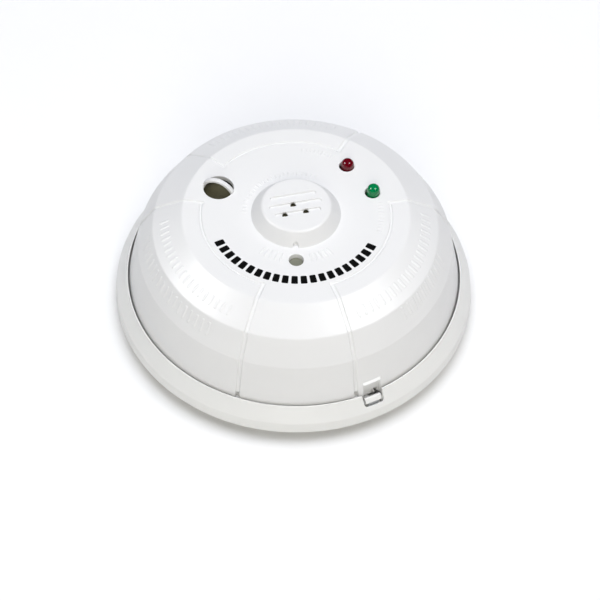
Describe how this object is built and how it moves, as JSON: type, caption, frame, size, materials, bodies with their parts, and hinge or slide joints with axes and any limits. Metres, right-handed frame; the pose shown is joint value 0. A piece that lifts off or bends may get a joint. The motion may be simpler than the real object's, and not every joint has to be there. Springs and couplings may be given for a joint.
{
  "type": "carbon monoxide detector",
  "caption": "Round ceiling or wall carbon monoxide detector: a domed head with sounder port, signal lamps and recessed test button, twist-locked to a wall ring.",
  "frame": {"origin": "centre of the wall ring's flat back, which is the face that goes against the wall or ceiling", "axes": "+Z out of the wall towards the face; -Y towards the test button; +X to the right, the side of the two lamps, seen from the front"},
  "size_m": [0.1568, 0.1568, 0.0558],
  "materials": {
    "base_plastic": "moulded, light texture",
    "cover_plastic": "moulded, light texture",
    "housing_plastic": "moulded",
    "grey_plastic": "moulded",
    "black_plastic": "moulded",
    "white_plastic": "moulded",
    "button_plastic": "moulded",
    "steel": "zinc plated",
    "foam": "closed-cell foam",
    "label_paper": "blank coated label",
    "plated_brass": "plated",
    "board_laminate": "solder-masked laminate",
    "mesh_cloth": "fine woven screen",
    "ceramic": "silvered ceramic",
    "red_lens": "tinted clear epoxy",
    "green_lens": "tinted clear epoxy",
    "core_steel": "varnished laminations",
    "winding_tape": "polyester tape over copper wire",
    "capacitor_sleeve": "shrink sleeve on an aluminium can",
    "yellow_plastic": "moulded box",
    "blue_epoxy": "dipped epoxy",
    "fuse_glass": "clear tube",
    "ferrite": "wound ferrite drum in sleeve",
    "resistor_lacquer": "lacquered"
  },
  "bodies": {
    "base": {"mounting_base": "base_plastic", "lock_pin": "steel", "lock_spring": "steel", "draught_seal": "foam"},
    "lock_tab": {"lock_tab": "white_plastic"},
    "head": {"front_cover": "cover_plastic", "rear_housing": "housing_plastic", "cover_screws": "steel", "rating_label": "label_paper", "power_inlet": "black_plastic", "inlet_pins": "plated_brass", "circuit_board": "board_laminate", "board_screws": "steel", "sensor_shroud": "grey_plastic", "sensor_gasket": "foam", "sensor_screen": "mesh_cloth", "sensor_base": "black_plastic", "sensor_can": "steel", "sensor_cap": "white_plastic", "sensor_pins": "plated_brass", "sounder_housing": "black_plastic", "sounder_screen": "mesh_cloth", "piezo_disc": "plated_brass", "piezo_ceramic": "ceramic", "sounder_contacts": "plated_brass", "red_lamp": "red_lens", "green_lamp": "green_lens", "lamp_spacers": "white_plastic", "lamp_leads": "steel", "switch_body": "black_plastic", "switch_frame": "steel", "transformer_core": "core_steel", "transformer_winding": "winding_tape", "electrolytic_capacitors": "capacitor_sleeve", "film_capacitor": "yellow_plastic", "varistor": "blue_epoxy", "fuse_tube": "fuse_glass", "fuse_clips": "steel", "regulator": "black_plastic", "driver_coil": "ferrite", "diodes": "black_plastic", "resistors": "resistor_lacquer", "component_leads": "steel", "microcontroller": "black_plastic", "amplifier_chip": "black_plastic", "chip_legs": "steel"},
    "test_button": {"test_button": "button_plastic"},
    "switch_plunger": {"switch_plunger": "button_plastic"}
  },
  "joints": [
    {"name": "head_twist", "type": "hinge", "parent": "base", "child": "head", "pos_m": [0, 0, 0], "axis": [0, 0, 1], "range_deg": [0, 12]},
    {"name": "lock_tab_flex", "type": "hinge", "parent": "base", "child": "lock_tab", "pos_m": [0.03465, -0.06516, 0.0039], "axis": [0.8829, 0.4695, 0], "range_deg": [0, 6], "stiffness_Nm_per_rad": 0.02},
    {"name": "button_press", "type": "slide", "parent": "head", "child": "test_button", "axis": [0, 0, -1], "range_m": [0, 0.0006], "stiffness_N_per_m": 3000, "springref_m": -0.0001},
    {"name": "plunger_press", "type": "slide", "parent": "head", "child": "switch_plunger", "axis": [0, 0, -1], "range_m": [0, 0.0006]}
  ],
  "couplings": [
    {"joint": "plunger_press", "follows": "button_press", "ratio": 1}
  ]
}
